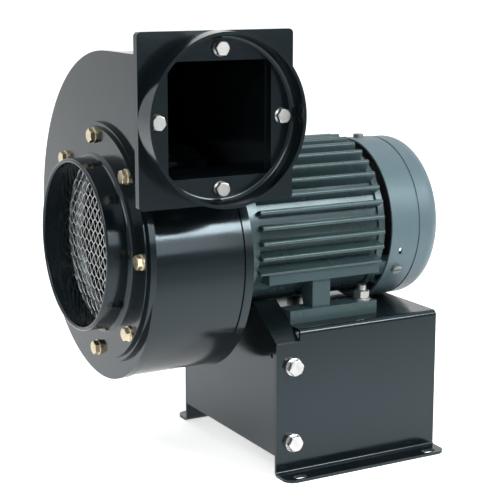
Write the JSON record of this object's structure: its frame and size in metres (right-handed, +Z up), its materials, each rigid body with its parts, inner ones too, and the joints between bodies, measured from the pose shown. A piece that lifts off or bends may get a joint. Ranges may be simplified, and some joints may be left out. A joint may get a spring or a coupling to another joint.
{
  "type": "centrifugal blower",
  "caption": "Centrifugal scroll blower with a round guarded inlet, a square-flanged round outlet collar and a finned foot motor on a folded sheet pedestal.",
  "frame": {"origin": "on the floor, at the centre of the four base slots", "axes": "+X along the shaft from the inlet to the fan cowl, -Y out of the outlet, +Z up"},
  "size_m": [0.311, 0.27, 0.365],
  "materials": {
    "housing_paint": "gloss black",
    "motor_paint": "satin dark grey-green",
    "bright_zinc": "bright zinc",
    "yellow_zinc": "yellow passivated zinc",
    "dull_zinc": "dull zinc",
    "galvanised_wire": "galvanised",
    "galvanised_sheet": "galvanised",
    "cast_metal": "as cast and turned",
    "ground_steel": "ground",
    "bearing_steel": "polished",
    "lamination_steel": "stacked laminations",
    "enamelled_copper": "enamelled copper, brass stands in",
    "fan_plastic": "black moulded",
    "felt_rubber": "black",
    "brown_plastic": "moulded"
  },
  "bodies": {
    "housing": {"pedestal": "housing_paint", "end_plate": "housing_paint", "side_bolts": "bright_zinc", "side_washers": "bright_zinc", "side_nuts": "bright_zinc", "scroll_front_plate": "housing_paint", "scroll_wrapper": "housing_paint", "scroll_back_plate": "housing_paint", "scroll_screws": "bright_zinc", "outlet_flange": "housing_paint", "outlet_collar": "housing_paint", "outlet_bolts": "bright_zinc", "outlet_nuts": "bright_zinc", "inlet_spacer": "housing_paint", "inlet_collar": "housing_paint", "inlet_bolts": "yellow_zinc", "inlet_washers": "yellow_zinc", "guard_front_wires": "galvanised_wire", "guard_rear_wires": "galvanised_wire", "guard_ring": "galvanised_wire", "inlet_cone": "galvanised_sheet", "front_outer_ring": "bearing_steel", "rear_outer_ring": "bearing_steel", "spring_washer": "ground_steel", "motor_frame": "motor_paint", "drive_shield": "motor_paint", "rear_shield": "motor_paint", "stator_core": "lamination_steel", "stator_winding": "enamelled_copper", "shaft_seal": "felt_rubber", "shield_screws": "bright_zinc", "fan_cowl": "motor_paint", "cowl_screws": "dull_zinc", "foot_bolts": "bright_zinc", "foot_washers": "bright_zinc", "foot_nuts": "bright_zinc", "terminal_box": "motor_paint", "terminal_lid": "motor_paint", "lid_screws": "bright_zinc", "terminal_block": "brown_plastic", "cable_bush": "fan_plastic"},
    "rotor": {"impeller_hub": "cast_metal", "impeller_disc": "housing_paint", "impeller_blades": "housing_paint", "impeller_shroud": "housing_paint", "impeller_bolt": "bright_zinc", "impeller_washer": "bright_zinc", "shaft": "ground_steel", "shaft_key": "ground_steel", "rotor_core": "lamination_steel", "front_inner_ring": "bearing_steel", "rear_inner_ring": "bearing_steel", "front_balls": "bearing_steel", "rear_balls": "bearing_steel", "cooling_fan": "fan_plastic"}
  },
  "joints": [
    {"name": "rotor_spin", "type": "hinge", "parent": "housing", "child": "rotor", "pos_m": [-0.149, 0, 0.193], "axis": [1, 0, 0], "continuous": true}
  ]
}
